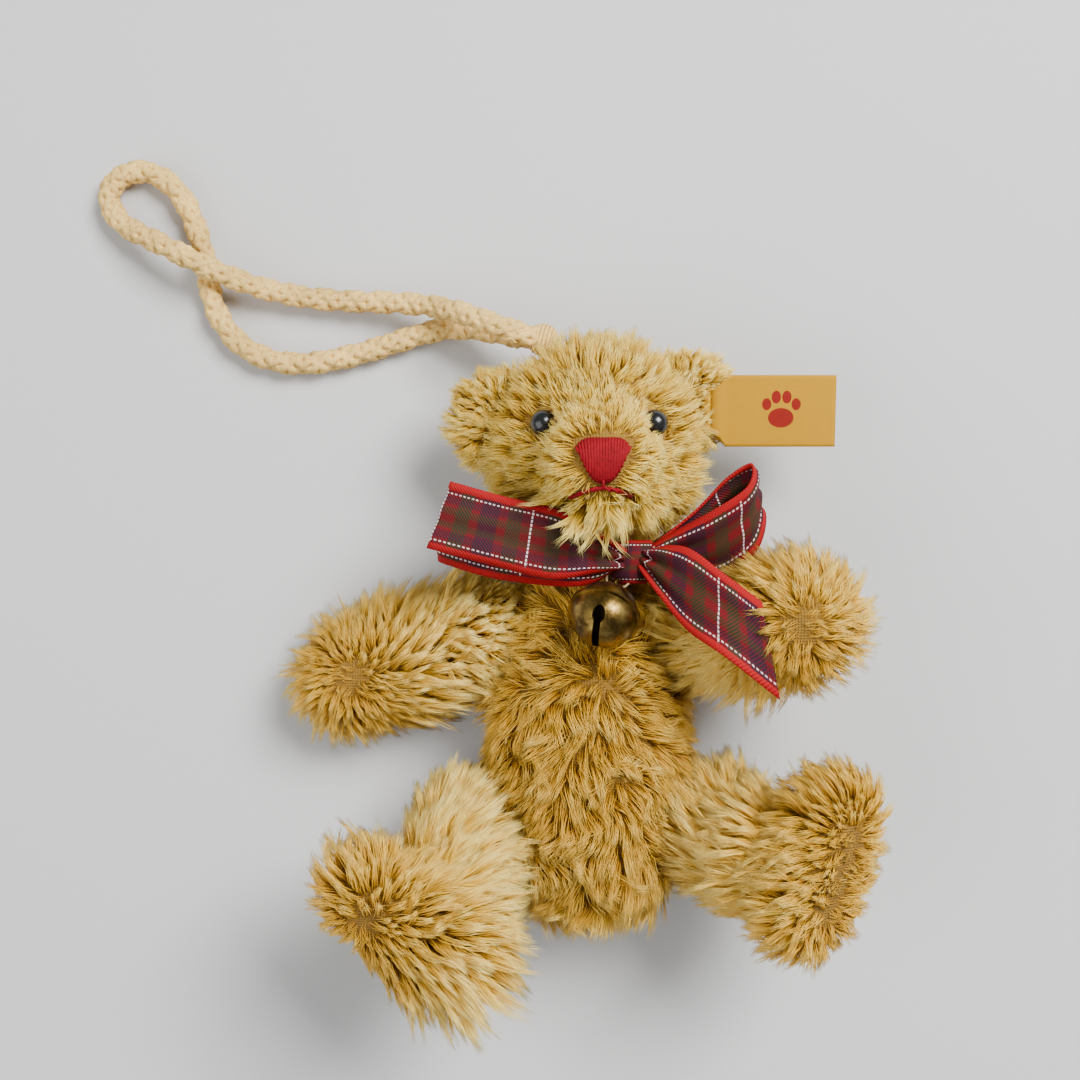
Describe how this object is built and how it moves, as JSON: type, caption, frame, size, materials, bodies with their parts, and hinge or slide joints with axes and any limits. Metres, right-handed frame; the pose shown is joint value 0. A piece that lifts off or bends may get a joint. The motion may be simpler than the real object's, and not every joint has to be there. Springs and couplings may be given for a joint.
{
  "type": "plush keychain",
  "caption": "Small jointed mohair teddy bear on a braided hanging loop, with a tartan ribbon bow, a jingle bell and a woven ear tag.",
  "frame": {"origin": "on the flat of the back, under the middle of the torso, where the bear rests when it lies face up", "axes": "+X to the bear's own left, +Y towards the crown of the head, +Z out of the belly"},
  "size_m": [0.1042, 0.109, 0.0379],
  "materials": {
    "mohair_body": "woven mohair, ochre roots and pale tips",
    "mohair_head": "woven mohair, shorter and yellower",
    "mohair_sole": "woven backing that shows through thin pile",
    "stuffing": "loose fibre filling",
    "joint_button": "small moulded disc",
    "thread": "twisted thread",
    "ribbon": "woven tartan with red borders",
    "bell": "antiqued, with polished high spots",
    "pellet": "plain ball",
    "cord": "braided cotton",
    "eye": "solid black glass bead",
    "embroidery": "satin stitch",
    "tag": "fine woven label"
  },
  "bodies": {
    "torso": {"torso_left_panel": "mohair_body", "torso_right_panel": "mohair_body", "torso_stuffing": "stuffing", "arm_string": "thread", "leg_string": "thread", "neck_string": "thread", "ribbon_collar": "ribbon", "bow_knot": "ribbon", "bow_loop_left": "ribbon", "bow_loop_right": "ribbon", "bow_tail_left": "ribbon", "bow_tail_right": "ribbon", "bell_thread": "thread"},
    "neck_button": {"neck_button": "joint_button"},
    "head": {"head_gusset": "mohair_head", "head_left_panel": "mohair_head", "head_right_panel": "mohair_head", "head_stuffing": "stuffing", "eye_left": "eye", "eye_right": "eye", "nose_embroidery": "embroidery", "mouth_stitches": "embroidery", "ear_left_front": "mohair_head", "ear_left_back": "mohair_head", "ear_right_front": "mohair_head", "ear_right_back": "mohair_head", "cord_root": "cord", "tag_thread": "thread"},
    "bell": {"bell_upper_shell": "bell", "bell_lower_shell": "bell", "bell_shank": "bell"},
    "bell_pellet": {"bell_pellet": "pellet"},
    "cord_whipping": {"cord_whipping": "cord"},
    "hang_cord": {"hang_cord": "cord"},
    "ear_tag": {"ear_tag": "tag"},
    "arm_left_button": {"arm_left_button": "joint_button"},
    "arm_left": {"arm_left_inner_panel": "mohair_body", "arm_left_outer_panel": "mohair_body", "arm_left_stuffing": "stuffing"},
    "leg_left_button": {"leg_left_button": "joint_button"},
    "leg_left": {"leg_left_inner_panel": "mohair_body", "leg_left_outer_panel": "mohair_body", "leg_left_sole": "mohair_sole", "leg_left_stuffing": "stuffing"},
    "arm_right_button": {"arm_right_button": "joint_button"},
    "arm_right": {"arm_right_inner_panel": "mohair_body", "arm_right_outer_panel": "mohair_body", "arm_right_stuffing": "stuffing"},
    "leg_right_button": {"leg_right_button": "joint_button"},
    "leg_right": {"leg_right_inner_panel": "mohair_body", "leg_right_outer_panel": "mohair_body", "leg_right_sole": "mohair_sole", "leg_right_stuffing": "stuffing"}
  },
  "joints": [
    {"name": "head_turn", "type": "hinge", "parent": "torso", "child": "neck_button", "pos_m": [0.0009, 0.0394, 0.0132], "axis": [0, 1, 0], "range_deg": [-10, 10]},
    {"name": "head_nod", "type": "hinge", "parent": "neck_button", "child": "head", "pos_m": [0.0009, 0.0394, 0.0132], "axis": [1, 0, 0], "range_deg": [-15, 2]},
    {"name": "arm_left_raise", "type": "hinge", "parent": "torso", "child": "arm_left_button", "pos_m": [0.0122, 0.015, 0.0116], "axis": [0, 0, 1], "range_deg": [-8, 10]},
    {"name": "arm_left_fold", "type": "hinge", "parent": "arm_left_button", "child": "arm_left", "pos_m": [0.0122, 0.015, 0.0116], "axis": [0, -1, 0], "range_deg": [-45, 0]},
    {"name": "leg_left_swing", "type": "hinge", "parent": "torso", "child": "leg_left_button", "pos_m": [0.0148, -0.011, 0.0114], "axis": [1, 0, 0], "range_deg": [-25, 65]},
    {"name": "leg_left_splay", "type": "hinge", "parent": "leg_left_button", "child": "leg_left", "pos_m": [0.0148, -0.011, 0.0114], "axis": [0, 1, 0], "range_deg": [-5, 20]},
    {"name": "arm_right_raise", "type": "hinge", "parent": "torso", "child": "arm_right_button", "pos_m": [-0.0122, 0.015, 0.0116], "axis": [0, 0, -1], "range_deg": [-8, 40]},
    {"name": "arm_right_fold", "type": "hinge", "parent": "arm_right_button", "child": "arm_right", "pos_m": [-0.0122, 0.015, 0.0116], "axis": [0, 1, 0], "range_deg": [-5, 40]},
    {"name": "leg_right_swing", "type": "hinge", "parent": "torso", "child": "leg_right_button", "pos_m": [-0.0148, -0.011, 0.0114], "axis": [1, 0, 0], "range_deg": [-25, 55]},
    {"name": "leg_right_splay", "type": "hinge", "parent": "leg_right_button", "child": "leg_right", "pos_m": [-0.0148, -0.011, 0.0114], "axis": [0, -1, 0], "range_deg": [-5, 20]},
    {"name": "cord_swing", "type": "hinge", "parent": "head", "child": "cord_whipping", "pos_m": [-0.00616, 0.05438, 0.00855], "axis": [0, 0, 1], "range_deg": [-125, 10]},
    {"name": "cord_lift", "type": "hinge", "parent": "cord_whipping", "child": "hang_cord", "pos_m": [-0.00616, 0.05438, 0.00855], "axis": [0.205, 0.9788, 0], "range_deg": [0, 65]},
    {"name": "bell_swing", "type": "hinge", "parent": "torso", "child": "bell", "pos_m": [0.00291, 0.02092, 0.02408], "axis": [-0.9534, 0.2035, -0.2226], "range_deg": [0, 20]},
    {"name": "pellet_travel", "type": "slide", "parent": "bell", "child": "bell_pellet", "axis": [-0.3016, -0.6434, 0.7037], "range_m": [0, 0.0046]},
    {"name": "tag_flap", "type": "hinge", "parent": "head", "child": "ear_tag", "pos_m": [0.0157, 0.04416, 0.01453], "axis": [0, -0.9903, -0.1392], "range_deg": [0, 70]}
  ]
}
